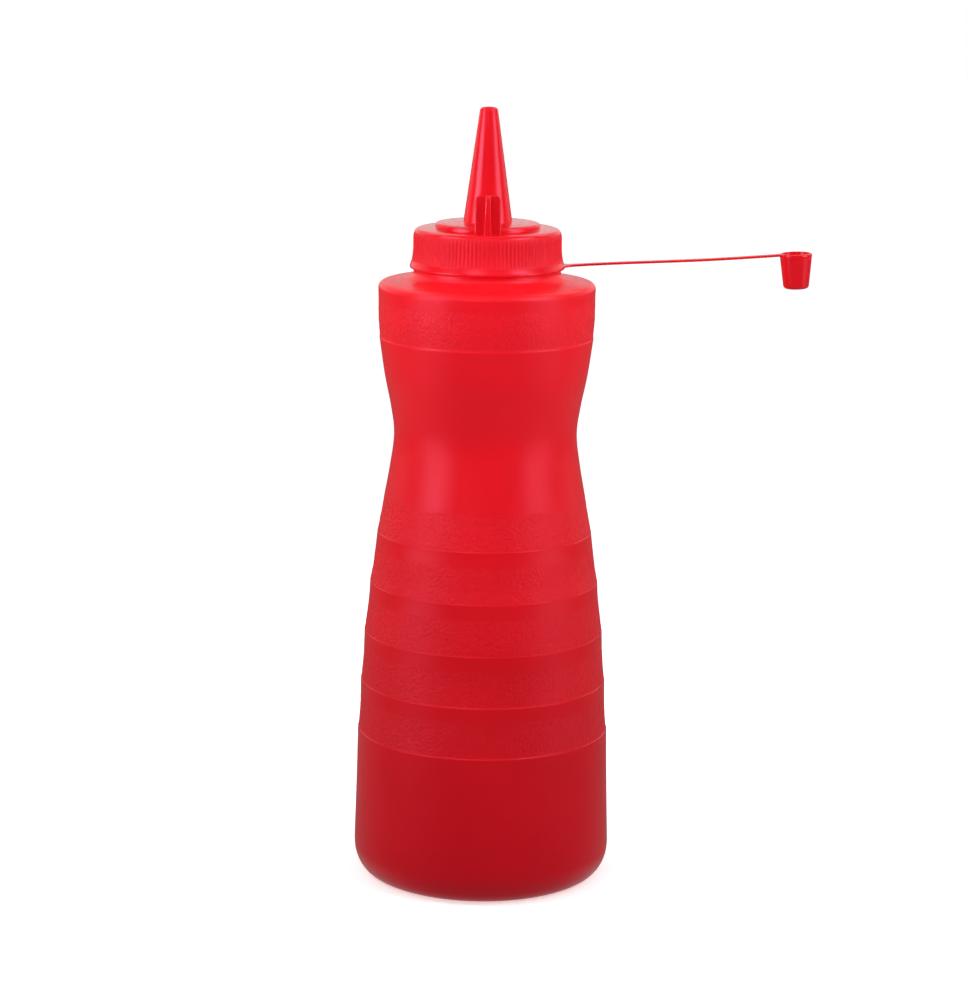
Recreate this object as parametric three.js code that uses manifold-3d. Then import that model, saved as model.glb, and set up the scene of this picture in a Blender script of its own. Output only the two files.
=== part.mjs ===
// Squeeze bottle with a screw cap, a conical nozzle and a tip cap on a strap.
// Millimetres, +Z up. The origin is the middle of the flat base, the front
// faces -Y and the strap runs out along +X.
import * as THREE from 'three';
import { mergeVertices } from 'three/addons/utils/BufferGeometryUtils.js';
import Module from 'manifold-3d';

const wasm = await Module();
wasm.setup();

// Sizes of the body
const BASE_FLAT_R = 33.4;
const BASE_R = 40.0;
const BASE_CORNER_H = 9.1;
const LOWER_MIDDLE_R = 39.35;
const LOWER_MIDDLE_Z = 31.0;
const BAND_FIRST_Z = 46.5;
const BAND_PITCH = 15.7;
// Each grained band starts on a small ledge: the ledge's radius, then the
// band's radius at each of these heights above the ledge.
const BAND_RISE = [0.35, 4.0, 7.9, 11.05];
const LEDGE_R = [39.03, 38.14, 37.02, 35.32, 33.12];
const BAND_R = [
  [38.79, 38.46, 38.25, 38.19],
  [37.94, 37.58, 37.27, 37.15],
  [36.88, 36.37, 35.88, 35.54],
  [35.19, 34.47, 33.97, 33.58],
  [32.98, 32.25, 31.53, 31.03],
];
const WAIST_R = 28.13;
const WAIST_Z = 139.7;
const UPPER_BAND_Z = 169.95;
const UPPER_BAND_H = 11.7;
const UPPER_LEDGE_R = 32.73;
const UPPER_BAND_R = 32.65;
const SHOULDER_R = 33.15;
const SHOULDER_Z = 185.75;
const SHOULDER_ROUND = 1.2;
const SHOULDER_TOP_R = 25.6;
const SHOULDER_TOP_Z = 187.7;
const NECK_R = 22.9;
const NECK_Z = 190.8;
const SPIGOT_R = 20.0;
const SPIGOT_TOP_Z = 199.6;
const BODY_SIDES = 62;

// Sizes of the cap
const GAP = 0.3;
const FLANGE_R = 23.7;
const FLANGE_Z = 191.6;
const SKIRT_R = 22.2;
const RIB_ROOT_R = 22.4;
const RIB_CREST_R = 22.65;
const RIB_COUNT = 116;
// Heights of the ribs' levels, and how far each level stands out or in.
const RIB_Z = [193.4, 195.5, 200.6, 202.0];
const RIB_SHIFT = [0.45, 0.15, 0.0, -0.35];
const CAP_TOP_Z = 203.45;
const CAP_EDGE_R = 21.15;
const CAP_EDGE_Z = 203.15;
const CAP_EDGE_DROP = 2.8;
const DISC_R = 16.0;
const DISC_TOP_Z = 204.95;
const DISC_ROUND = 0.3;
const NOZZLE_FOOT_R = 7.45;
const NOZZLE_TIP_R = 2.8;
const NOZZLE_TOP_Z = 239.85;
const NOZZLE_TIP_ROUND = 1.1;
const ORIFICE_R = 1.5;
const ORIFICE_DEPTH = 14.0;
const CAP_SIDES = 58;

// Sizes of the parking peg, the strap and the tip cap
const PEG_Y = -16.1;
const PEG_HALF_WIDTH = 3.8;
const PEG_TOP_Z = 215.0;
const PEG_FIN = 1.4;
const PEG_FOOT_SPREAD = 0.7;
const STRAP_START_X = 22.4;
const STRAP_ROOT_X = 24.2;
const STRAP_ROOT_Z = 191.88;
const STRAP_SLOPE = 0.0615;
const STRAP_WAVE = 0.18;
const STRAP_WAVE_START = 0.13;
const STRAP_WIDTH = 2.8;
const STRAP_THICK = 0.65;
const STRAP_FLARE = 2.4;
const TIP_X = 94.3;
const TIP_MOUTH_Z = 196.6;
const TIP_H = 10.8;
const TIP_LEAN_DEG = 2.0;
const TIP_COLLAR_R = 4.9;
const TIP_COLLAR_H = 1.2;
const TIP_TOP_R = 4.83;
const TIP_BOTTOM_R = 3.95;
const TIP_ROUND = 1.1;
const TIP_INNER_MOUTH_R = 4.1;
const TIP_INNER_BOTTOM_R = 3.3;
const TIP_FLOOR = 1.1;

const bottleRed = new THREE.MeshStandardMaterial({ color: 0xd41a24, roughness: 0.45, metalness: 0.0 });
const capRed = new THREE.MeshStandardMaterial({ color: 0xe01c28, roughness: 0.3, metalness: 0.0 });

// Points on a quarter of an ellipse, from one angle to another.
function arc(centreR, centreZ, radiusR, radiusZ, fromDeg, toDeg, steps) {
  const points = [];
  for (let i = 0; i <= steps; i += 1) {
    const angle = THREE.MathUtils.degToRad(fromDeg + ((toDeg - fromDeg) * i) / steps);
    points.push(new THREE.Vector2(
      centreR + radiusR * Math.cos(angle),
      centreZ + radiusZ * Math.sin(angle),
    ));
  }
  return points;
}

// A profile turned about the vertical axis.
function turned(points, sides) {
  const geometry = new THREE.LatheGeometry(points, sides);
  geometry.rotateX(Math.PI / 2);
  return geometry;
}

// A closed geometry as a solid for joining and cutting.
function solid(geometry) {
  const bare = geometry.index ? geometry.toNonIndexed() : geometry.clone();
  bare.deleteAttribute('normal');
  bare.deleteAttribute('uv');
  const merged = mergeVertices(bare, 1e-4);
  const corners = merged.index.array;
  const kept = [];
  for (let i = 0; i < corners.length; i += 3) {
    const [a, b, c] = [corners[i], corners[i + 1], corners[i + 2]];
    if (a !== b && b !== c && c !== a) {
      kept.push(a, b, c);
    }
  }
  return new wasm.Manifold(new wasm.Mesh({
    numProp: 3,
    vertProperties: new Float32Array(merged.attributes.position.array),
    triVerts: new Uint32Array(kept),
  }));
}

// A solid's surface as a named mesh.
function meshOf(shape, name, material) {
  const surface = shape.getMesh();
  const geometry = new THREE.BufferGeometry();
  geometry.setAttribute('position', new THREE.BufferAttribute(surface.vertProperties, 3));
  geometry.setIndex(new THREE.BufferAttribute(surface.triVerts, 1));
  geometry.computeVertexNormals();
  const mesh = new THREE.Mesh(geometry, material);
  mesh.name = name;
  return mesh;
}

// The body's profile: base, banded lower half, waist, upper band, shoulder and neck.
function bodyProfile() {
  const points = [new THREE.Vector2(0, 0)];
  const corner = BASE_R - BASE_FLAT_R;
  points.push(...arc(BASE_FLAT_R, BASE_CORNER_H, corner, BASE_CORNER_H, -90, 0, 6));
  points.push(new THREE.Vector2(LOWER_MIDDLE_R, LOWER_MIDDLE_Z));
  LEDGE_R.forEach((ledge, i) => {
    const low = BAND_FIRST_Z + i * BAND_PITCH;
    points.push(new THREE.Vector2(ledge, low - 0.05));
    BAND_RISE.forEach((rise, k) => points.push(new THREE.Vector2(BAND_R[i][k], low + rise)));
  });

  const waist = new THREE.SplineCurve([
    points[points.length - 1],
    new THREE.Vector2(29.33, 129.8),
    new THREE.Vector2(WAIST_R, WAIST_Z),
    new THREE.Vector2(29.17, 148.4),
    new THREE.Vector2(31.08, 158.0),
    new THREE.Vector2(UPPER_LEDGE_R, UPPER_BAND_Z - 0.05),
  ]);
  points.push(...waist.getPoints(13).slice(1));

  const bandTop = UPPER_BAND_Z + UPPER_BAND_H;
  points.push(new THREE.Vector2(UPPER_BAND_R, UPPER_BAND_Z + 0.35));
  points.push(new THREE.Vector2(33.03, UPPER_BAND_Z + UPPER_BAND_H / 2));
  points.push(new THREE.Vector2(SHOULDER_R, bandTop));

  points.push(...arc(
    SHOULDER_R - SHOULDER_ROUND, SHOULDER_Z, SHOULDER_ROUND, SHOULDER_ROUND, 0, 84, 5,
  ));
  const fillet = SHOULDER_TOP_R - NECK_R;
  points.push(...arc(
    SHOULDER_TOP_R, NECK_Z, fillet, NECK_Z - SHOULDER_TOP_Z, 270, 180, 3,
  ));
  points.push(new THREE.Vector2(SPIGOT_R, NECK_Z));
  points.push(new THREE.Vector2(SPIGOT_R, SPIGOT_TOP_Z));
  points.push(new THREE.Vector2(0, SPIGOT_TOP_Z));
  return points;
}

// The cap's turned core: recess, flared flange, skirt, rounded edge and raised disc.
function capCore() {
  const under = NECK_Z + GAP;
  const recessR = SPIGOT_R + GAP;
  const recessTop = SPIGOT_TOP_Z + GAP;
  const points = [
    new THREE.Vector2(0, recessTop),
    new THREE.Vector2(recessR, recessTop),
    new THREE.Vector2(recessR, under),
    new THREE.Vector2(FLANGE_R - 0.45, under),
    new THREE.Vector2(FLANGE_R - 0.1, FLANGE_Z - 0.25),
    new THREE.Vector2(FLANGE_R, FLANGE_Z),
    new THREE.Vector2(FLANGE_R - 0.08, FLANGE_Z + 0.4),
    new THREE.Vector2(FLANGE_R - 0.3, FLANGE_Z + 1.0),
    new THREE.Vector2(FLANGE_R - 0.5, FLANGE_Z + 1.6),
    new THREE.Vector2(FLANGE_R - 0.6, FLANGE_Z + 2.0),
    new THREE.Vector2(SKIRT_R + 0.3, FLANGE_Z + 2.15),
  ];
  const drop = CAP_EDGE_DROP;
  points.push(...arc(
    CAP_EDGE_R, CAP_EDGE_Z - drop, SKIRT_R - CAP_EDGE_R, drop, 0, 90, 5,
  ));
  points.push(new THREE.Vector2(DISC_R, CAP_TOP_Z));
  const discZ = DISC_TOP_Z - DISC_ROUND;
  points.push(...arc(DISC_R - DISC_ROUND, discZ, DISC_ROUND, DISC_ROUND, 0, 90, 2));
  points.push(new THREE.Vector2(0, DISC_TOP_Z));
  return solid(turned(points, CAP_SIDES));
}

// The ring of fine upright ribs round the skirt.
function capRibs() {
  const outline = new THREE.Shape();
  const step = (2 * Math.PI) / RIB_COUNT;
  for (let i = 0; i < RIB_COUNT; i += 1) {
    const root = i * step;
    const crest = root + step / 2;
    const draw = i === 0 ? 'moveTo' : 'lineTo';
    outline[draw](RIB_ROOT_R * Math.cos(root), RIB_ROOT_R * Math.sin(root));
    outline.lineTo(RIB_CREST_R * Math.cos(crest), RIB_CREST_R * Math.sin(crest));
  }
  outline.closePath();
  const inner = new THREE.Path();
  inner.absarc(0, 0, SKIRT_R - 0.8, 0, 2 * Math.PI, true);
  outline.holes.push(inner);
  const levels = RIB_Z.length - 1;
  const ring = new THREE.ExtrudeGeometry(outline, {
    depth: levels,
    steps: levels,
    bevelEnabled: false,
    curveSegments: 24,
  });
  const corners = ring.attributes.position;
  for (let i = 0; i < corners.count; i += 1) {
    const level = Math.round(corners.getZ(i));
    const r = Math.hypot(corners.getX(i), corners.getY(i));
    const grow = r > RIB_ROOT_R - 0.1 ? (r + RIB_SHIFT[level]) / r : 1;
    corners.setXYZ(i, corners.getX(i) * grow, corners.getY(i) * grow, RIB_Z[level]);
  }
  return solid(ring);
}

// The conical nozzle and the hole in its tip.
function nozzle() {
  const points = [
    new THREE.Vector2(0, DISC_TOP_Z - 1),
    new THREE.Vector2(NOZZLE_FOOT_R + 0.14, DISC_TOP_Z - 1),
  ];
  const rimZ = NOZZLE_TOP_Z - NOZZLE_TIP_ROUND;
  points.push(...arc(
    NOZZLE_TIP_R - NOZZLE_TIP_ROUND, rimZ, NOZZLE_TIP_ROUND, NOZZLE_TIP_ROUND, 8, 90, 4,
  ));
  points.push(new THREE.Vector2(0, NOZZLE_TOP_Z));
  const floorZ = NOZZLE_TOP_Z - ORIFICE_DEPTH;
  const hole = [
    new THREE.Vector2(0, floorZ),
    new THREE.Vector2(ORIFICE_R + 0.8, floorZ),
    new THREE.Vector2(ORIFICE_R, NOZZLE_TOP_Z - 2),
    new THREE.Vector2(ORIFICE_R, NOZZLE_TOP_Z + 1),
    new THREE.Vector2(0, NOZZLE_TOP_Z + 1),
  ];
  return solid(turned(points, 36)).subtract(solid(turned(hole, 24)));
}

// One upright fin of the parking peg, wider and thicker at its foot.
function pegFin(turn) {
  const foot = CAP_TOP_Z - 0.6;
  const tall = PEG_TOP_Z - foot;
  const half = PEG_HALF_WIDTH;
  const outline = new THREE.Shape();
  outline.moveTo(-half - 0.15, 0);
  outline.lineTo(half + 0.15, 0);
  outline.lineTo(half, tall - 1.6);
  outline.quadraticCurveTo(half, tall, half - 1.6, tall);
  outline.lineTo(-half + 1.6, tall);
  outline.quadraticCurveTo(-half, tall, -half, tall - 1.6);
  outline.closePath();
  const fin = new THREE.ExtrudeGeometry(outline, {
    depth: PEG_FIN,
    bevelEnabled: false,
    curveSegments: 5,
  });
  fin.translate(0, 0, -PEG_FIN / 2);
  const corners = fin.attributes.position;
  for (let i = 0; i < corners.count; i += 1) {
    const spread = 1 + PEG_FOOT_SPREAD * (1 - corners.getY(i) / tall);
    corners.setZ(i, corners.getZ(i) * spread);
  }
  fin.rotateX(Math.PI / 2);
  fin.rotateZ(turn);
  fin.translate(0, PEG_Y, foot);
  return solid(fin);
}

// Height of the strap's middle line above the base.
function strapHeight(x) {
  const along = (x - STRAP_ROOT_X) / (TIP_X - STRAP_ROOT_X);
  const wave = STRAP_WAVE * Math.sin(2 * Math.PI * (along + STRAP_WAVE_START));
  return STRAP_ROOT_Z + STRAP_SLOPE * (x - STRAP_ROOT_X) + wave;
}

// The flat strap, wider at its root, laid along its line.
function strap() {
  const steps = 30;
  const endX = TIP_X - TIP_INNER_MOUTH_R - 0.45;
  const edge = [];
  for (let i = 0; i <= steps; i += 1) {
    const along = (i / steps) ** 1.5;
    const x = STRAP_START_X + (endX - STRAP_START_X) * along;
    const past = Math.max(0, x - FLANGE_R + 0.3);
    const half = STRAP_WIDTH / 2 + STRAP_FLARE * Math.exp(-past / 1.3);
    edge.push(new THREE.Vector2(x, half));
  }
  const outline = new THREE.Shape([
    ...edge.map((point) => new THREE.Vector2(point.x, -point.y)),
    ...edge.slice().reverse(),
  ]);
  const band = new THREE.ExtrudeGeometry(outline, { depth: STRAP_THICK, bevelEnabled: false });
  const corners = band.attributes.position;
  for (let i = 0; i < corners.count; i += 1) {
    const lift = strapHeight(corners.getX(i)) - STRAP_THICK / 2;
    corners.setZ(i, corners.getZ(i) + lift);
  }
  return solid(band);
}

// The tip cap: a small tapered cup with a collar round its mouth.
function tipCap() {
  const points = [new THREE.Vector2(0, -TIP_H)];
  points.push(...arc(
    TIP_BOTTOM_R - TIP_ROUND, TIP_ROUND - TIP_H, TIP_ROUND, TIP_ROUND, -90, -5, 4,
  ));
  points.push(
    new THREE.Vector2(TIP_TOP_R, -TIP_COLLAR_H - 0.2),
    new THREE.Vector2(TIP_COLLAR_R, -TIP_COLLAR_H),
    new THREE.Vector2(TIP_COLLAR_R, -0.25),
    new THREE.Vector2(TIP_COLLAR_R - 0.25, 0),
    new THREE.Vector2(TIP_INNER_MOUTH_R, 0),
    new THREE.Vector2(TIP_INNER_BOTTOM_R, TIP_FLOOR - TIP_H),
    new THREE.Vector2(0, TIP_FLOOR - TIP_H),
  );
  const cup = turned(points, 32);
  cup.rotateY(THREE.MathUtils.degToRad(-TIP_LEAN_DEG));
  cup.translate(TIP_X - 0.35, 0, TIP_MOUTH_Z);
  return solid(cup);
}

const bottle = meshOf(solid(turned(bodyProfile(), BODY_SIDES)), 'bottle', bottleRed);
const capSolid = capCore()
  .add(capRibs())
  .add(nozzle())
  .add(pegFin(0))
  .add(pegFin(Math.PI / 2))
  .add(strap())
  .add(tipCap());
const cap = meshOf(capSolid, 'cap', capRed);

const squeezeBottle = new THREE.Group();
squeezeBottle.name = 'squeeze_bottle';
squeezeBottle.add(bottle, cap);

export default squeezeBottle;
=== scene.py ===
"""Looks of a red squeeze bottle with a nozzle cap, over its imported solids.

The body and the cap are rebuilt here with finer faces than the solids have, on
the same main sizes. Sizes in the classes are in millimetres, and the meshes
are in metres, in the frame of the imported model.
"""
import logging
import math
from dataclasses import dataclass
from enum import Enum
from typing import Iterable

import bmesh
import bpy
from mathutils import Matrix, Vector, noise


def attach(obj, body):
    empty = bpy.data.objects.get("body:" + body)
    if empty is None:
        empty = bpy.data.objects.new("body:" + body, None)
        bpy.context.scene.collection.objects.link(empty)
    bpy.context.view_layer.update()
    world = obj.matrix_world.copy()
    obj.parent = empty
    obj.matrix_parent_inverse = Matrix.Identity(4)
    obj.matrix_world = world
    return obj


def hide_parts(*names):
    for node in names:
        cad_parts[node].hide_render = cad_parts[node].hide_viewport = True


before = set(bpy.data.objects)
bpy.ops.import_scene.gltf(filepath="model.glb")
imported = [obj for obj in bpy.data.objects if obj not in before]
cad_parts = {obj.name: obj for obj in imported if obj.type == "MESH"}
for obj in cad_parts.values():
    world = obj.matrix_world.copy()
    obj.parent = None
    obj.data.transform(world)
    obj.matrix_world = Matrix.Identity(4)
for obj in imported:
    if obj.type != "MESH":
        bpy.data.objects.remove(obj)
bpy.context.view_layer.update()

BODY = "root"
MM = 0.001
MERGE = 1e-6
SEAM_REACH = 1e-5
WEDGES = 8

# Cycles per metre of the patterns in the plastic.
CLOUD_SCALE = 34.0
SCUFF_SCALE = 420.0
WAVE_SCALE = 26.0
GRAIN_SCALE = 1200.0
# Scuffs are drawn out along the height.
SCUFF_STRETCH = (1.0, 1.0, 0.22)

log = logging.getLogger("squeeze_bottle")

Point = tuple[float, float]


class Skin(Enum):
    """The two surfaces that the mould leaves on the body, as material slots."""

    SMOOTH = 0
    GRAINED = 1


class CapSkin(Enum):
    """The two surfaces of the cap's moulding, as material slots."""

    POLISHED = 0
    RIBBED = 1


class Easing(Enum):
    """How a mapped value goes from one end of its range to the other."""

    LINEAR = "LINEAR"
    SMOOTH = "SMOOTHSTEP"


class Sum(Enum):
    """Ways to combine two values."""

    ADD = "ADD"
    TIMES = "MULTIPLY"
    LARGER = "MAXIMUM"


def arc(centre: Point, radii: Point, start: float, end: float, steps: int) -> list[Point]:
    """Points on part of an ellipse in the profile plane.

    Args:
        centre: Radius and height of the middle, in mm.
        radii: Half axes along the radius and the height, in mm.
        start: First angle in degrees, from outwards towards up.
        end: Last angle in degrees.
        steps: Number of spans.

    Returns:
        The points from the first angle to the last.
    """
    points = []
    for i in range(steps + 1):
        angle = math.radians(start + (end - start) * i / steps)
        r = centre[0] + radii[0] * math.cos(angle)
        z = centre[1] + radii[1] * math.sin(angle)
        points.append((r, z))
    return points


def straight(start: Point, end: Point, steps: int) -> list[Point]:
    """Points evenly along a straight line.

    Args:
        start: First point, in mm.
        end: Last point, in mm.
        steps: Number of spans.

    Returns:
        The points, both ends included.
    """
    a = Vector(start)
    b = Vector(end)
    return [tuple(a.lerp(b, i / steps)) for i in range(steps + 1)]


def flowing(stations: list[Point], steps: int) -> list[Point]:
    """Points on a smooth curve through some stations.

    Args:
        stations: Points that the curve passes through, in mm.
        steps: Spans between each two stations.

    Returns:
        The points of the curve, both ends included.
    """
    points = [stations[0]]
    last = len(stations) - 1
    for i in range(last):
        p0 = Vector(stations[max(i - 1, 0)])
        p1 = Vector(stations[i])
        p2 = Vector(stations[i + 1])
        p3 = Vector(stations[min(i + 2, last)])
        for k in range(1, steps + 1):
            t = k / steps
            bend = 2 * p0 - 5 * p1 + 4 * p2 - p3
            twist = 3 * p1 - p0 - 3 * p2 + p3
            points.append(tuple(0.5 * (2 * p1 + (p2 - p0) * t + bend * t**2 + twist * t**3)))
    return points


def turned(points: Iterable[Point], sides: int) -> bmesh.types.BMesh:
    """Turns a profile about the vertical axis.

    One wedge is spun, then doubled until it goes all round, which is much
    quicker than one full spin of many steps.

    Args:
        points: Radius and height of each profile point, in mm.
        sides: Number of sides of the turned shape, a multiple of 8.

    Returns:
        A closed mesh in metres, with its faces outwards.
    """
    bm = bmesh.new()
    corners = [bm.verts.new((r * MM, 0.0, z * MM)) for r, z in points]
    edges = [bm.edges.new(pair) for pair in zip(corners, corners[1:])]
    turn = 2 * math.pi / WEDGES
    bmesh.ops.spin(
        bm,
        geom=corners + edges,
        cent=(0, 0, 0),
        axis=(0, 0, 1),
        angle=turn,
        steps=sides // WEDGES,
    )
    while turn < 1.9 * math.pi:
        copy = bmesh.ops.duplicate(bm, geom=bm.verts[:] + bm.edges[:] + bm.faces[:])["geom"]
        verts = [part for part in copy if isinstance(part, bmesh.types.BMVert)]
        bmesh.ops.rotate(bm, cent=(0, 0, 0), matrix=Matrix.Rotation(turn, 3, "Z"), verts=verts)
        turn *= 2
    bmesh.ops.remove_doubles(bm, verts=bm.verts, dist=MERGE)
    bmesh.ops.recalc_face_normals(bm, faces=bm.faces)
    return bm


def as_object(name: str, bm: bmesh.types.BMesh) -> bpy.types.Object:
    """Makes an object of a mesh and frees the mesh under edit.

    Args:
        name: Name of the object.
        bm: The finished mesh.

    Returns:
        The new object, linked to the scene.
    """
    mesh = bpy.data.meshes.new(name)
    bm.to_mesh(mesh)
    bm.free()
    piece = bpy.data.objects.new(name, mesh)
    bpy.context.scene.collection.objects.link(piece)
    return piece


def smooth_by_angle(piece: bpy.types.Object, angle_deg: float) -> None:
    """Shades a piece smooth, with sharp edges past an angle.

    Args:
        piece: The piece to shade.
        angle_deg: Edges sharper than this stay sharp.
    """
    mesh = piece.data
    mesh.polygons.foreach_set("use_smooth", [True] * len(mesh.polygons))
    mesh.set_sharp_from_angle(angle=math.radians(angle_deg))


def joined(target: bpy.types.Object, others: list[bpy.types.Object]) -> None:
    """Joins closed pieces into one solid and removes the others.

    Args:
        target: The piece that takes the result.
        others: The pieces that are joined to it.
    """
    group = bpy.data.collections.new("to_join")
    bpy.context.scene.collection.children.link(group)
    for other in others:
        group.objects.link(other)
    union = target.modifiers.new("join", "BOOLEAN")
    union.operation = "UNION"
    union.operand_type = "COLLECTION"
    union.collection = group
    union.solver = "MANIFOLD"
    depsgraph = bpy.context.evaluated_depsgraph_get()
    result = bpy.data.meshes.new_from_object(target.evaluated_get(depsgraph))
    target.modifiers.clear()
    old = target.data
    result.name = old.name
    result.materials.clear()
    target.data = result
    bpy.data.meshes.remove(old)
    for other in others:
        bpy.data.objects.remove(other)
    bpy.data.collections.remove(group)


class Wiring:
    """A tree of nodes, laid out and linked by short calls."""

    def __init__(self, tree: bpy.types.NodeTree) -> None:
        """Takes the tree that the nodes go into."""
        self.tree = tree

    def link(self, source: bpy.types.NodeSocket, target: bpy.types.NodeSocket) -> None:
        """Links one socket to another."""
        self.tree.links.new(source, target)

    def ranged(
        self, source: bpy.types.NodeSocket, span: Point, to: Point, easing: Easing = Easing.LINEAR
    ) -> bpy.types.NodeSocket:
        """Maps a value from one range to another.

        Args:
            source: The value.
            span: Lowest and highest value to read.
            to: What these become.
            easing: How the value goes from one end to the other.

        Returns:
            The socket of the mapped value.
        """
        node = self.tree.nodes.new("ShaderNodeMapRange")
        node.interpolation_type = easing.value
        node.inputs["From Min"].default_value = span[0]
        node.inputs["From Max"].default_value = span[1]
        node.inputs["To Min"].default_value = to[0]
        node.inputs["To Max"].default_value = to[1]
        self.link(source, node.inputs["Value"])
        return node.outputs["Result"]

    def combined(
        self, kind: Sum, a: bpy.types.NodeSocket, b: bpy.types.NodeSocket
    ) -> bpy.types.NodeSocket:
        """Combines two values.

        Args:
            kind: How they are combined.
            a: First value.
            b: Second value.

        Returns:
            The socket of the result.
        """
        node = self.tree.nodes.new("ShaderNodeMath")
        node.operation = kind.value
        self.link(a, node.inputs[0])
        self.link(b, node.inputs[1])
        return node.outputs[0]


class Board(Wiring):
    """A material's nodes round one shader."""

    def __init__(self, name: str) -> None:
        """Starts an empty material with its shader and its Object coordinates.

        Args:
            name: Name of the material.
        """
        self.material = bpy.data.materials.new(name)
        self.material.use_nodes = True
        super().__init__(self.material.node_tree)
        self.shader = self.tree.nodes["Principled BSDF"]
        self.place = self.tree.nodes.new("ShaderNodeTexCoord").outputs["Object"]

    def noise(self, scale: float, detail: float, stretch: Vector | None = None) -> bpy.types.NodeSocket:
        """Adds a noise pattern on Object coordinates.

        Args:
            scale: Cycles per metre.
            detail: Number of finer layers.
            stretch: Scale along each axis, where it isn't even.

        Returns:
            The socket of its value.
        """
        node = self.tree.nodes.new("ShaderNodeTexNoise")
        node.inputs["Scale"].default_value = scale
        node.inputs["Detail"].default_value = detail
        place = self.place
        if stretch is not None:
            mapping = self.tree.nodes.new("ShaderNodeMapping")
            mapping.inputs["Scale"].default_value = stretch
            self.link(place, mapping.inputs["Vector"])
            place = mapping.outputs["Vector"]
        self.link(place, node.inputs["Vector"])
        return node.outputs["Fac"]

    def blend(self, amount: bpy.types.NodeSocket, low: tuple, high: tuple) -> bpy.types.NodeSocket:
        """Blends two colours by a value.

        Args:
            amount: 0 gives the first colour and 1 the second.
            low: First colour, linear red, green and blue.
            high: Second colour.

        Returns:
            The socket of the colour.
        """
        node = self.tree.nodes.new("ShaderNodeMix")
        node.data_type = "RGBA"
        sockets = [s for s in node.inputs if s.type == "RGBA"]
        sockets[0].default_value = (*low, 1.0)
        sockets[1].default_value = (*high, 1.0)
        self.link(amount, node.inputs["Factor"])
        return next(s for s in node.outputs if s.type == "RGBA")

    def bump(
        self,
        height: bpy.types.NodeSocket,
        strength: float,
        distance: float,
        under: bpy.types.NodeSocket | None = None,
    ) -> bpy.types.NodeSocket:
        """Adds a bump from a height.

        Args:
            height: The height pattern.
            strength: How much of it shows, from 0 to 1.
            distance: Depth of the pattern in metres.
            under: The normal of a coarser bump that this one lies on.

        Returns:
            The socket of the normal.
        """
        node = self.tree.nodes.new("ShaderNodeBump")
        node.inputs["Strength"].default_value = strength
        node.inputs["Distance"].default_value = distance
        self.link(height, node.inputs["Height"])
        if under is not None:
            self.link(under, node.inputs["Normal"])
        return node.outputs["Normal"]


@dataclass(frozen=True)
class RedPlastic:
    """A red moulded plastic and the marks that its mould leaves.

    Attributes:
        name: Name of the material.
        deep: Darker tint of the colour, linear.
        bright: Lighter tint of the colour, linear.
        gloss: Lowest and highest roughness.
        wave_depth: Depth of the slow waves of the wall, in mm.
        grain_depth: Depth of the fine grain, in mm, 0 on a polished face.
        scatter: Share of light that passes under the surface.
        shine: Level of the mirror reflection, 0.5 for a full one.
    """

    name: str
    deep: tuple[float, float, float]
    bright: tuple[float, float, float]
    gloss: Point
    wave_depth: float
    grain_depth: float
    scatter: float
    shine: float

    def material(self) -> bpy.types.Material:
        """Builds the material.

        Returns:
            The new material.
        """
        board = Board(self.name)
        shader = board.shader
        cloud = board.noise(CLOUD_SCALE, 2.0)
        colour = board.blend(board.ranged(cloud, (0.3, 0.7), (0.0, 1.0)), self.deep, self.bright)
        board.link(colour, shader.inputs["Base Color"])

        scuff = board.noise(SCUFF_SCALE, 4.0, Vector(SCUFF_STRETCH))
        rough = board.ranged(scuff, (0.35, 0.72), self.gloss)
        board.link(rough, shader.inputs["Roughness"])

        wave = board.noise(WAVE_SCALE, 1.0)
        normal = board.bump(wave, 0.6, self.wave_depth * MM)
        if self.grain_depth > 0:
            grain = board.noise(GRAIN_SCALE, 2.0)
            normal = board.bump(grain, 0.7, self.grain_depth * MM, normal)
        board.link(normal, shader.inputs["Normal"])

        shader.inputs["IOR"].default_value = 1.5
        shader.inputs["Specular IOR Level"].default_value = self.shine
        shader.inputs["Specular Tint"].default_value = (1.0, 0.3, 0.5, 1.0)
        shader.inputs["Subsurface Weight"].default_value = self.scatter
        shader.inputs["Subsurface Radius"].default_value = (1.0, 0.12, 0.1)
        shader.inputs["Subsurface Scale"].default_value = 0.0015
        return board.material


SATIN_RED = RedPlastic(
    name="satin_red",
    deep=(0.80, 0.0080, 0.0150),
    bright=(0.86, 0.0095, 0.0180),
    gloss=(0.28, 0.36),
    wave_depth=0.3,
    grain_depth=0.0,
    scatter=0.05,
    shine=0.4,
)
GRAINED_RED = RedPlastic(
    name="grained_red",
    deep=(0.80, 0.0090, 0.0170),
    bright=(0.86, 0.0110, 0.0200),
    gloss=(0.34, 0.44),
    wave_depth=0.2,
    grain_depth=0.32,
    scatter=0.05,
    shine=0.4,
)
POLISHED_RED = RedPlastic(
    name="polished_red",
    deep=(0.70, 0.0065, 0.0130),
    bright=(0.76, 0.0080, 0.0150),
    gloss=(0.15, 0.22),
    wave_depth=0.03,
    grain_depth=0.0,
    scatter=0.06,
    shine=0.5,
)
RIBBED_RED = RedPlastic(
    name="ribbed_red",
    deep=(0.70, 0.0065, 0.0130),
    bright=(0.76, 0.0080, 0.0150),
    gloss=(0.46, 0.54),
    wave_depth=0.03,
    grain_depth=0.02,
    scatter=0.06,
    shine=0.4,
)


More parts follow.
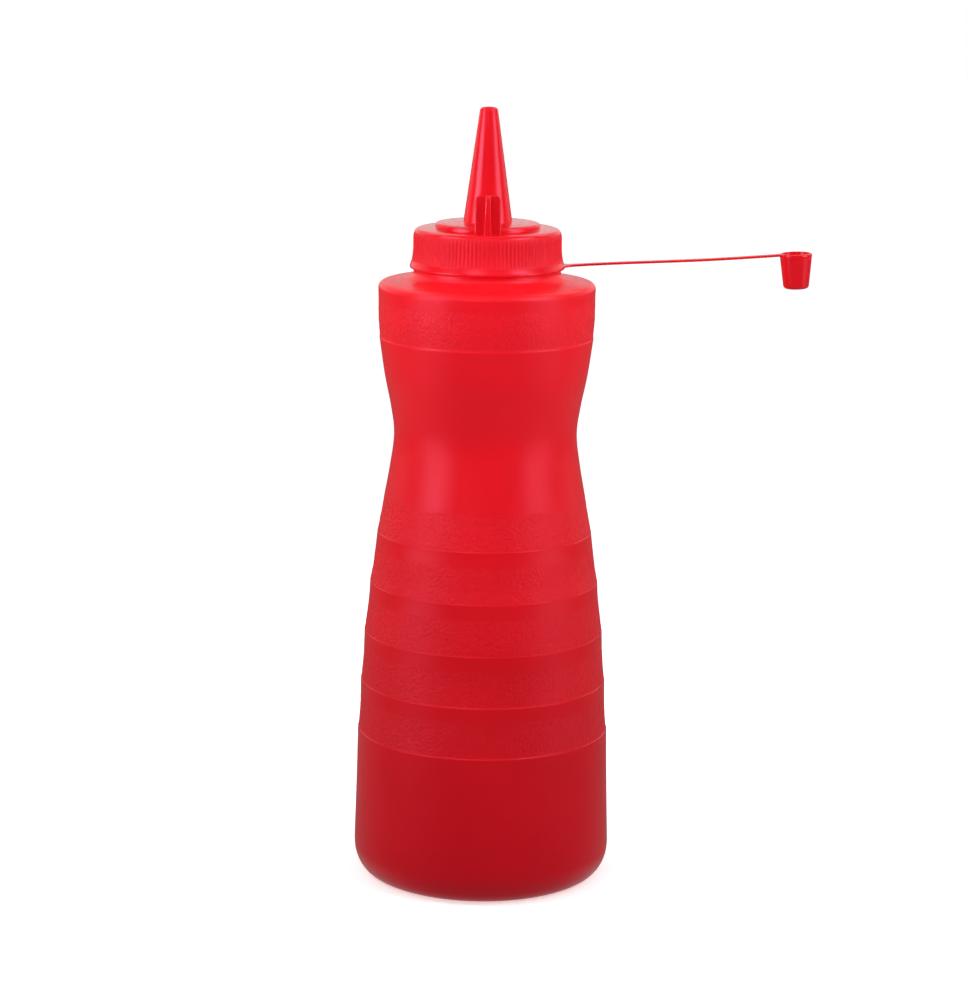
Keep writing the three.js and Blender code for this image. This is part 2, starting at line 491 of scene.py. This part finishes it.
@dataclass
class Bottle:
    """The blown body, from its flat base to the neck inside the cap."""

    base_flat_r: float = 33.4
    base_r: float = 40.0
    base_corner_h: float = 9.1
    base_hollow_r: float = 27.0
    base_hollow_h: float = 0.8
    base_hollow_round: float = 3.0
    lower_middle: Point = (39.35, 31.0)
    band_first_z: float = 46.5
    band_pitch: float = 15.7
    band_rise: tuple[float, ...] = (0.5, 4.0, 7.9, 11.05)
    strip_end: float = 0.6
    ledge_shape: tuple[Point, ...] = (
        (0.0, -0.25),
        (0.06, -0.08),
        (0.26, 0.03),
        (0.74, 0.2),
        (0.95, 0.32),
        (1.0, 0.5),
    )
    ledge_r: tuple[float, ...] = (39.03, 38.14, 37.02, 35.32, 33.12)
    band_r: tuple[tuple[float, ...], ...] = (
        (38.77, 38.46, 38.25, 38.19),
        (37.92, 37.58, 37.27, 37.15),
        (36.85, 36.37, 35.88, 35.54),
        (35.15, 34.47, 33.97, 33.58),
        (32.93, 32.25, 31.53, 31.03),
    )
    waist: tuple[Point, ...] = ((29.33, 129.8), (28.13, 139.7), (29.17, 148.4), (31.08, 158.0))
    upper_band_z: float = 169.95
    upper_band_h: float = 11.7
    upper_ledge_r: float = 32.75
    upper_band_r: float = 32.63
    upper_middle_r: float = 33.03
    upper_top_r: float = 33.07
    shoulder_r: float = 33.22
    shoulder_z: float = 185.0
    shoulder_round: float = 1.95
    shoulder_top_r: float = 28.0
    shoulder_top_z: float = 187.55
    neck_r: float = 22.5
    neck_foot_z: float = 190.0
    neck_z: float = 191.0
    spigot_r: float = 20.0
    spigot_top_z: float = 199.6
    sides: int = 416
    band_rows: int = 6
    grain_size: float = 1.0
    grain_height: float = 0.07
    grain_start: float = 0.5
    grain_fade_low: float = 1.0
    grain_fade_high: float = 2.2
    grain_skin_start: float = 0.4
    crease_deg: float = 40.0
    seam_height: float = 0.08

    def bands(self) -> list[Point]:
        """Where the grained bands are.

        Returns:
            The lowest and highest height of each band, in mm.
        """
        lows = [self.band_first_z + i * self.band_pitch for i in range(len(self.ledge_r))]
        spans = [(low, low + self.band_rise[-1]) for low in lows]
        spans.append((self.upper_band_z, self.upper_band_z + self.upper_band_h))
        return spans

    def ledge(self, outer_r: float, inner_r: float, z: float) -> list[Point]:
        """The small rounded ledge that a band stands on.

        Args:
            outer_r: Radius of the smooth strip under the ledge, in mm.
            inner_r: Radius of the band on it, in mm.
            z: Height of the ledge, in mm.

        Returns:
            Profile points from the strip to the band.
        """
        step = outer_r - inner_r
        return [(outer_r - share * step, z + rise) for share, rise in self.ledge_shape]

    def profile(self) -> list[Point]:
        """The body's outline, to be turned.

        Returns:
            Profile points from the middle of the base to the neck's top, in mm.
        """
        hollow_h = self.base_hollow_h
        hollow_flat_r = self.base_hollow_r - self.base_hollow_round
        points = [(0.0, hollow_h), (hollow_flat_r, hollow_h)]
        points += arc((hollow_flat_r, 0.0), (self.base_hollow_round, hollow_h), 80, 0, 4)
        points += straight((self.base_hollow_r + 0.5, 0.0), (self.base_flat_r - 1.0, 0.0), 2)
        corner = self.base_r - self.base_flat_r
        points += arc((self.base_flat_r, self.base_corner_h), (corner, self.base_corner_h), -90, 0, 12)
        points += straight(points[-1], self.lower_middle, 4)[1:]
        first = (self.ledge_r[0], self.band_first_z - self.strip_end)
        points += straight(self.lower_middle, first, 3)[1:]

        for i, ledge_r in enumerate(self.ledge_r):
            low = self.band_first_z + i * self.band_pitch
            stations = [(r, low + rise) for r, rise in zip(self.band_r[i], self.band_rise)]
            points += self.ledge(ledge_r, stations[0][0], low)
            points += flowing(stations, self.band_rows)[1:]
            if i + 1 < len(self.ledge_r):
                above = (self.ledge_r[i + 1], low + self.band_pitch - self.strip_end)
                points += straight(points[-1], above, 3)[1:]

        band = self.upper_band_z
        waist = [points[-1], *self.waist, (self.upper_ledge_r - 0.04, band - self.strip_end)]
        points += flowing(waist, 5)[1:]
        points += self.ledge(self.upper_ledge_r, self.upper_band_r, band)
        band_top = band + self.upper_band_h
        middle = (self.upper_middle_r, band + self.upper_band_h / 2)
        points += flowing([points[-1], middle, (self.upper_top_r, band_top)], self.band_rows + 3)[1:]

        corner = self.shoulder_round
        points += arc((self.shoulder_r - corner, self.shoulder_z), (corner, corner), 0, 83, 8)
        fillet_size = (self.shoulder_top_r - self.neck_r, self.neck_foot_z - self.shoulder_top_z)
        fillet = arc((self.shoulder_top_r, self.neck_foot_z), fillet_size, 264, 180, 8)
        points += straight(points[-1], fillet[0], 4)[1:-1]
        points += fillet
        points.append((self.neck_r, self.neck_z))
        points.append((self.spigot_r, self.neck_z))
        points.append((self.spigot_r, self.spigot_top_z))
        points.append((0.0, self.spigot_top_z))
        return points

    def grain(self, place: Vector) -> float:
        """How far the grain lifts a point.

        Args:
            place: The point, in metres.

        Returns:
            The lift in metres, 0 away from the bands.
        """
        z = place.z / MM
        for low, high in self.bands():
            start = low + self.grain_start
            if start < z < high:
                fade = min(1.0, (z - start) / self.grain_fade_low, (high - z) / self.grain_fade_high)
                spot = place / (self.grain_size * MM)
                half = spot * 0.5
                swirl = Vector((noise.noise(half), noise.noise(half + Vector((7, 3, 5))), 0))
                return self.grain_height * MM * fade * noise.noise(spot + swirl)
        return 0.0

    def build(self) -> bpy.types.Object:
        """Builds the body with its grained bands and mould seam.

        Returns:
            The body's object.
        """
        bm = turned(self.profile(), self.sides)
        bm.normal_update()
        moves = []
        for vert in bm.verts:
            lift = self.grain(vert.co)
            on_wall = self.base_corner_h * MM < vert.co.z < self.shoulder_z * MM
            if on_wall and abs(vert.co.y) < SEAM_REACH:
                lift += self.seam_height * MM
            if lift:
                moves.append((vert, vert.normal * lift))
        for vert, move in moves:
            vert.co += move
        spans = self.bands()
        for face in bm.faces:
            z = face.calc_center_median().z / MM
            grained = any(low + self.grain_skin_start < z < high for low, high in spans)
            face.material_index = (Skin.GRAINED if grained else Skin.SMOOTH).value
        bm.normal_update()
        piece = as_object("bottle_body", bm)
        smooth_by_angle(piece, self.crease_deg)
        return piece

    def dress(self, piece: bpy.types.Object) -> None:
        """Gives the body its two skins and its place in the frame.

        Args:
            piece: The body's object.
        """
        piece.data.materials.append(SATIN_RED.material())
        piece.data.materials.append(GRAINED_RED.material())
        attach(piece, BODY)
        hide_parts("bottle")


@dataclass
class Cap:
    """The screw cap: one moulding with its nozzle, peg, strap and tip cap."""

    under_z: float = 191.1
    recess_r: float = 20.3
    recess_top_z: float = 199.9
    flange_foot: Point = (23.25, 191.1)
    flare: tuple[Point, ...] = (
        (23.6, 191.3),
        (23.7, 191.6),
        (23.62, 192.0),
        (23.4, 192.6),
        (23.2, 193.2),
        (23.06, 193.8),
        (22.85, 195.0),
        (22.7, 196.4),
        (22.65, 198.2),
    )
    rib_height: float = 0.16
    rib_count: int = 116
    rib_sides: int = 8
    rib_fade_low: Point = (193.3, 194.2)
    rib_fade_high: Point = (201.0, 202.2)
    top_z: float = 203.45
    edge_r: float = 21.15
    edge_z: float = 203.15
    edge_drop: float = 2.8
    disc_r: float = 16.0
    disc_top_z: float = 204.95
    disc_round: float = 0.8
    disc_crown: float = 0.3
    nozzle_foot_r: float = 7.45
    nozzle_tip_r: float = 2.8
    nozzle_top_z: float = 239.85
    nozzle_tip_round: float = 1.1
    orifice_r: float = 1.5
    orifice_depth: float = 14.0
    peg_y: float = -16.1
    peg_half_width: float = 3.8
    peg_top_z: float = 215.0
    peg_fin: float = 1.4
    peg_foot_spread: float = 0.7
    peg_foot_widen: float = 0.04
    peg_sink: float = 0.6
    peg_corner: float = 1.5
    peg_edge: float = 0.42
    strap_start_x: float = 22.4
    strap_root_x: float = 24.2
    strap_root_z: float = 191.88
    strap_slope: float = 0.0615
    strap_wave: float = 0.18
    strap_wave_start: float = 0.13
    strap_width: float = 2.8
    strap_thick: float = 0.65
    strap_flare: float = 2.4
    strap_flare_reach: float = 1.3
    strap_edge: float = 0.16
    strap_cuts: int = 70
    strap_row_bias: float = 1.4
    strap_hold: float = 0.45
    tip_x: float = 94.3
    tip_shift: float = 0.35
    tip_mouth_z: float = 196.6
    tip_h: float = 10.8
    tip_lean_deg: float = 2.0
    tip_collar_r: float = 4.9
    tip_collar_h: float = 1.2
    tip_top_r: float = 4.83
    tip_bottom_r: float = 3.95
    tip_round: float = 1.1
    tip_inner_mouth_r: float = 4.1
    tip_inner_bottom_r: float = 3.3
    tip_floor: float = 1.1
    tip_sides: int = 128
    crease_deg: float = 38.0

    def core_profile(self) -> list[Point]:
        """The outline of the cap's turned part.

        Returns:
            Profile points from the recess over the skirt to the nozzle's hole, in mm.
        """
        points = [(0.0, self.recess_top_z), (self.recess_r, self.recess_top_z)]
        points.append((self.recess_r, self.under_z))
        edge_size = (self.flare[-1][0] - self.edge_r, self.edge_drop)
        edge = arc((self.edge_r, self.edge_z - self.edge_drop), edge_size, 0, 86, 12)
        points += flowing([self.flange_foot, *self.flare, edge[0]], 3)
        points += edge[1:]
        points += straight(edge[-1], (self.disc_r, self.top_z), 3)[1:]
        disc_z = self.disc_top_z - self.disc_round
        points += arc((self.disc_r - self.disc_round, disc_z), (self.disc_round, self.disc_round), 0, 90, 4)
        points += straight(points[-1], (self.nozzle_foot_r, self.disc_top_z + self.disc_crown), 3)[1:]
        rim_z = self.nozzle_top_z - self.nozzle_tip_round
        rim_size = (self.nozzle_tip_round, self.nozzle_tip_round)
        rim = arc((self.nozzle_tip_r - self.nozzle_tip_round, rim_z), rim_size, 8, 90, 8)
        points += straight(points[-1], rim[0], 6)[1:-1]
        points += rim
        points += arc((self.orifice_r + 0.2, self.nozzle_top_z - 0.2), (0.2, 0.2), 90, 180, 3)
        floor_z = self.nozzle_top_z - self.orifice_depth
        points.append((self.orifice_r, self.nozzle_top_z - 2))
        points.append((self.orifice_r + 0.8, floor_z))
        points.append((0.0, floor_z))
        return points

    def rib_share(self, z: float) -> float:
        """How deep the valleys between the ribs are at a height.

        Args:
            z: Height in mm.

        Returns:
            A share of the full depth, 0 above and below the ribs.
        """
        low, full_low = self.rib_fade_low
        full_high, high = self.rib_fade_high
        share = min((z - low) / (full_low - low), (high - z) / (high - full_high))
        return max(0.0, min(1.0, share))

    def core(self) -> bpy.types.Object:
        """Builds the turned part of the cap with its fine upright ribs.

        Returns:
            The object that the other parts are joined to.
        """
        sides = self.rib_count * self.rib_sides
        bm = turned(self.core_profile(), sides)
        pitch = 2 * math.pi / self.rib_count
        for vert in bm.verts:
            r = math.hypot(vert.co.x, vert.co.y) / MM
            share = self.rib_share(vert.co.z / MM)
            if r > self.edge_r and share > 0:
                turn = (math.atan2(vert.co.y, vert.co.x) / pitch) % 1.0
                valley = 0.5 - 0.5 * math.cos(2 * math.pi * turn)
                shrink = 1 - self.rib_height * share * valley / r
                vert.co.x *= shrink
                vert.co.y *= shrink
        return as_object("nozzle_cap", bm)

    def peg_fin_piece(self, turn: float) -> bpy.types.Object:
        """Builds one upright fin of the parking peg.

        Args:
            turn: Angle about the peg's axis, in radians.

        Returns:
            The fin's object, in place.
        """
        foot = self.top_z - self.peg_sink
        tall = self.peg_top_z - foot
        bm = bmesh.new()
        bmesh.ops.create_cube(bm, size=1.0)
        bmesh.ops.scale(bm, vec=(2 * self.peg_half_width, self.peg_fin, tall), verts=bm.verts)
        bmesh.ops.translate(bm, vec=(0, 0, tall / 2), verts=bm.verts)
        tops = [e for e in bm.edges if all(v.co.z > tall - 0.01 for v in e.verts)]
        ends = [e for e in tops if abs(e.verts[0].co.x - e.verts[1].co.x) < 0.01]
        bmesh.ops.bevel(
            bm, geom=ends, offset=self.peg_corner, segments=6, profile=0.5, affect="EDGES", material=-1
        )
        rims = [e for e in bm.edges if e.is_manifold and e.calc_face_angle(0) > 1.0]
        bmesh.ops.bevel(
            bm, geom=rims, offset=self.peg_edge, segments=4, profile=0.5, affect="EDGES", material=-1
        )
        for vert in bm.verts:
            spread = 1 - vert.co.z / tall
            vert.co.y *= 1 + self.peg_foot_spread * spread
            vert.co.x *= 1 + self.peg_foot_widen * spread
        bmesh.ops.rotate(bm, cent=(0, 0, 0), matrix=Matrix.Rotation(turn, 3, "Z"), verts=bm.verts)
        bmesh.ops.translate(bm, vec=(0, self.peg_y, foot), verts=bm.verts)
        bmesh.ops.scale(bm, vec=(MM, MM, MM), verts=bm.verts)
        return as_object("peg_fin", bm)

    def strap_height(self, x: float) -> float:
        """Height of the strap's middle line at a place along it.

        Args:
            x: Distance from the bottle's axis, in mm.

        Returns:
            The height in mm.
        """
        along = (x - self.strap_root_x) / (self.tip_x - self.strap_root_x)
        wave = self.strap_wave * math.sin(2 * math.pi * (along + self.strap_wave_start))
        return self.strap_root_z + self.strap_slope * (x - self.strap_root_x) + wave

    def strap(self) -> bpy.types.Object:
        """Builds the flat strap, wider at its root.

        Returns:
            The strap's object, in place.
        """
        end_x = self.tip_x - self.tip_inner_mouth_r - self.strap_hold
        long = end_x - self.strap_start_x
        bm = bmesh.new()
        bmesh.ops.create_cube(bm, size=1.0)
        bmesh.ops.scale(bm, vec=(1, self.strap_width, self.strap_thick), verts=bm.verts)
        runs = [e for e in bm.edges if abs(e.verts[0].co.x - e.verts[1].co.x) > 0.5]
        bmesh.ops.bevel(
            bm, geom=runs, offset=self.strap_edge, segments=2, profile=0.5, affect="EDGES", material=-1
        )
        runs = [e for e in bm.edges if abs(e.verts[0].co.x - e.verts[1].co.x) > 0.5]
        bmesh.ops.subdivide_edges(bm, edges=runs, cuts=self.strap_cuts, use_grid_fill=True)
        for vert in bm.verts:
            along = (vert.co.x + 0.5) ** self.strap_row_bias
            x = self.strap_start_x + long * along
            past = max(0.0, x - self.flange_foot[0])
            flare = self.strap_flare * math.exp(-past / self.strap_flare_reach)
            vert.co.x = x
            vert.co.y *= 1 + 2 * flare / self.strap_width
            vert.co.z += self.strap_height(x)
        bmesh.ops.scale(bm, vec=(MM, MM, MM), verts=bm.verts)
        bmesh.ops.recalc_face_normals(bm, faces=bm.faces)
        return as_object("strap", bm)

    def tip_cap(self) -> bpy.types.Object:
        """Builds the small open cup at the strap's end.

        Returns:
            The cup's object, in place.
        """
        low = -self.tip_h
        floor = self.tip_floor - self.tip_h
        collar = self.tip_collar_r
        points = [(0.0, low)]
        corner = (self.tip_round, self.tip_round)
        points += arc((self.tip_bottom_r - self.tip_round, low + self.tip_round), corner, -90, -5, 6)
        points += straight(points[-1], (self.tip_top_r, -self.tip_collar_h - 0.25), 5)[1:]
        points += arc((collar - 0.3, -self.tip_collar_h + 0.1), (0.3, 0.3), -60, 0, 3)
        points += arc((collar - 0.3, -0.3), (0.3, 0.3), 0, 90, 4)
        points += arc((self.tip_inner_mouth_r + 0.2, -0.2), (0.2, 0.2), 90, 180, 3)
        points += straight(points[-1], (self.tip_inner_bottom_r, floor + 0.4), 4)[1:]
        points += arc((self.tip_inner_bottom_r - 0.4, floor + 0.4), (0.4, 0.4), 0, -90, 3)[1:]
        points.append((0.0, floor))
        bm = turned(points, self.tip_sides)
        lean = Matrix.Rotation(math.radians(-self.tip_lean_deg), 3, "Y")
        bmesh.ops.rotate(bm, cent=(0, 0, 0), matrix=lean, verts=bm.verts)
        place = Vector((self.tip_x - self.tip_shift, 0, self.tip_mouth_z)) * MM
        bmesh.ops.translate(bm, vec=place, verts=bm.verts)
        return as_object("tip_cap", bm)

    def build(self) -> bpy.types.Object:
        """Builds the cap as one moulding.

        Returns:
            The cap's object.
        """
        piece = self.core()
        fins = [self.peg_fin_piece(0.0), self.peg_fin_piece(math.pi / 2)]
        others = fins + [self.strap(), self.tip_cap()]
        joined(piece, others)
        smooth_by_angle(piece, self.crease_deg)
        low, high = self.rib_fade_low[0], self.rib_fade_high[1]
        for face in piece.data.polygons:
            z = face.center.z / MM
            r = math.hypot(face.center.x, face.center.y) / MM
            ribbed = low < z < high and self.edge_r < r < self.flange_foot[0]
            face.material_index = (CapSkin.RIBBED if ribbed else CapSkin.POLISHED).value
        return piece

    def dress(self, piece: bpy.types.Object) -> None:
        """Gives the cap its two skins and its place in the frame.

        Args:
            piece: The cap's object.
        """
        piece.data.materials.append(POLISHED_RED.material())
        piece.data.materials.append(RIBBED_RED.material())
        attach(piece, BODY)
        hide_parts("cap")


@dataclass
class Softbox:
    """A soft light with a grid, placed round the bottle's axis.

    Attributes:
        name: Name of the light.
        azimuth_deg: Direction that it stands in, from the front towards +X.
        distance: Distance from the axis, in metres.
        height: Height of its middle, in metres.
        size: Width and height, in metres.
        brightness: Radiance straight ahead.
        spread_deg: Angle that its grid lets through.
        aim_z: Height on the axis that it looks at, or level if left out.
    """

    name: str
    azimuth_deg: float
    distance: float
    height: float
    size: tuple[float, float]
    brightness: float
    spread_deg: float
    aim_z: float | None = None

    def build(self) -> bpy.types.Object:
        """Builds the light.

        Returns:
            The light's object, in place.
        """
        data = bpy.data.lights.new(self.name, "AREA")
        data.shape = "RECTANGLE"
        data.size = self.size[0]
        data.size_y = self.size[1]
        half = math.radians(self.spread_deg) / 2
        gain = math.tan(half) / (math.tan(half) - half)
        data.energy = self.brightness * math.pi * self.size[0] * self.size[1] / gain
        data.spread = 2 * half
        lamp = bpy.data.objects.new(self.name, data)
        turn = math.radians(self.azimuth_deg)
        place = Vector((math.sin(turn) * self.distance, -math.cos(turn) * self.distance, self.height))
        aim = Vector((0, 0, self.height if self.aim_z is None else self.aim_z))
        look = (aim - place).to_track_quat("-Z", "Y").to_matrix().to_4x4()
        lamp.matrix_world = Matrix.Translation(place) @ look
        bpy.context.scene.collection.objects.link(lamp)
        return lamp


@dataclass
class Studio:
    """The pale floor, the soft lights and the camera of the photograph."""

    floor_r: float = 4.0
    camera_distance: float = 0.89714
    camera_height: float = 0.30664
    camera_side: float = -0.0002
    pitch_deg: float = 11.83
    roll_deg: float = 0.65
    focal_px: float = 2957.0
    frame_px: float = 1000.0
    sensor_mm: float = 36.0
    wall_glow: float = 0.8
    horizon_glow: float = 0.08
    floor_glow: float = 0.45
    room_glow: float = 0.05

    def camera(self) -> None:
        """Builds the camera that the photograph was taken with."""
        data = bpy.data.cameras.new("camera")
        data.sensor_fit = "VERTICAL"
        data.sensor_height = self.sensor_mm
        data.lens = self.sensor_mm * self.focal_px / self.frame_px
        data.clip_start = 0.01
        eye = bpy.data.objects.new("camera", data)
        tilt = Matrix.Rotation(math.radians(90 - self.pitch_deg), 4, "X")
        roll = Matrix.Rotation(math.radians(self.roll_deg), 4, "Z")
        stand = Matrix.Translation((self.camera_side, -self.camera_distance, self.camera_height))
        eye.matrix_world = stand @ tilt @ roll
        bpy.context.scene.collection.objects.link(eye)
        bpy.context.scene.camera = eye

    def floor(self) -> None:
        """Builds the plain pale floor, which glows less near the bottle: a painted soft shadow round its
        foot.
        """
        bm = bmesh.new()
        bmesh.ops.create_circle(bm, cap_ends=True, segments=96, radius=self.floor_r)
        bmesh.ops.translate(bm, vec=(0, 0, -0.0001), verts=bm.verts)
        piece = as_object("floor", bm)
        board = Board("pale_floor_painted_shadow")
        length = board.tree.nodes.new("ShaderNodeVectorMath")
        length.operation = "LENGTH"
        board.link(board.place, length.inputs[0])
        # The glow rises from 0.55 near the axis to 1.0 at 0.3 m out. This is a painted soft shadow round
        # the bottle's foot, on top of the real shadow that the lamps cast on the floor's diffuse part.
        glow = board.ranged(length.outputs["Value"], (0.04, 0.3), (0.55, 1.0))
        board.link(glow, board.shader.inputs["Emission Strength"])
        board.shader.inputs["Base Color"].default_value = (0.9, 0.9, 0.9, 1.0)
        board.shader.inputs["Roughness"].default_value = 0.8
        board.shader.inputs["Emission Color"].default_value = (1.0, 1.0, 1.0, 1.0)
        piece.data.materials.append(board.material)
        piece.visible_glossy = False
        piece.visible_diffuse = False

    def lights(self) -> None:
        """Builds tall boxes beside the bottle and a ring of lights above it."""
        Softbox("left_box", -61, 0.45, 0.345, (0.36, 0.36), 12.0, 50).build()
        Softbox("right_box", 64, 0.45, 0.345, (0.34, 0.36), 8.0, 50).build()
        Softbox("left_low", -66, 0.45, 0.06, (0.42, 0.12), 3.3, 60).build()
        Softbox("right_low", 70, 0.45, 0.06, (0.42, 0.12), 2.4, 60).build()
        Softbox("side_left", -70, 0.45, 0.60, (0.40, 0.30), 6.5, 60, 0.15).build()
        Softbox("side_right", 70, 0.45, 0.60, (0.40, 0.30), 3.5, 60, 0.15).build()
        Softbox("fill_right", 60, 0.45, 0.50, (0.40, 0.20), 8.5, 45, 0.14).build()
        Softbox("high_front", -20, 0.40, 0.40, (0.50, 0.30), 4.1, 40, 0.15).build()
        Softbox("high_right", 45, 0.40, 0.45, (0.50, 0.30), 1.8, 40, 0.25).build()
        Softbox("front_top", 0, 0.45, 0.62, (0.50, 0.30), 1.2, 60, 0.12).build()
        Softbox("overhead", 0, 0.02, 0.85, (0.40, 0.40), 1.0, 60, 0.0).build()
        Softbox("back_right", 140, 0.40, 0.55, (0.50, 0.30), 2.0, 60, 0.15).build()
        Softbox("back_left", -140, 0.40, 0.55, (0.50, 0.30), 2.0, 60, 0.15).build()

    def surroundings(self) -> None:
        """Builds the room: a bright wall low behind the bottle and a glow from the floor."""
        world = bpy.data.worlds.new("room")
        world.use_nodes = True
        bpy.context.scene.world = world
        room = Wiring(world.node_tree)
        nodes = room.tree.nodes
        place = nodes.new("ShaderNodeTexCoord").outputs["Generated"]
        split = nodes.new("ShaderNodeSeparateXYZ")
        room.link(place, split.inputs[0])
        back = split.outputs["Y"]
        up = split.outputs["Z"]

        behind = room.ranged(back, (-0.1, 0.5), (0.0, 1.0), Easing.SMOOTH)
        wall_foot = room.ranged(up, (-0.06, 0.04), (0.0, self.wall_glow), Easing.SMOOTH)
        wall_top = room.ranged(up, (0.3, 0.5), (1.0, 0.0), Easing.SMOOTH)
        wall = room.combined(Sum.TIMES, wall_foot, wall_top)
        horizon = room.ranged(up, (-0.12, 0.03), (self.horizon_glow, 0.0), Easing.SMOOTH)
        far = room.combined(Sum.TIMES, behind, room.combined(Sum.ADD, wall, horizon))
        below = room.ranged(up, (-0.55, -0.2), (self.floor_glow, self.room_glow), Easing.SMOOTH)
        glow = room.combined(Sum.ADD, far, below)
        path = nodes.new("ShaderNodeLightPath").outputs["Is Camera Ray"]
        seen = room.combined(Sum.LARGER, glow, path)
        background = nodes["Background"]
        room.link(seen, background.inputs["Strength"])
        background.inputs["Color"].default_value = (1.0, 1.0, 1.0, 1.0)

    def build(self) -> None:
        """Sets up the whole studio."""
        self.camera()
        self.floor()
        self.lights()
        self.surroundings()
        bpy.context.scene.view_settings.view_transform = "Standard"


def main() -> None:
    """Builds the studio, then each piece, and reports what was made."""
    logging.basicConfig(level=logging.INFO, format="%(message)s")
    Studio().build()
    for assembly in (Bottle(), Cap()):
        piece = assembly.build()
        assembly.dress(piece)
        faces = sum(len(face.vertices) - 2 for face in piece.data.polygons)
        log.info("%s: %d triangles", piece.name, faces)


if __name__ == "__main__":
    main()
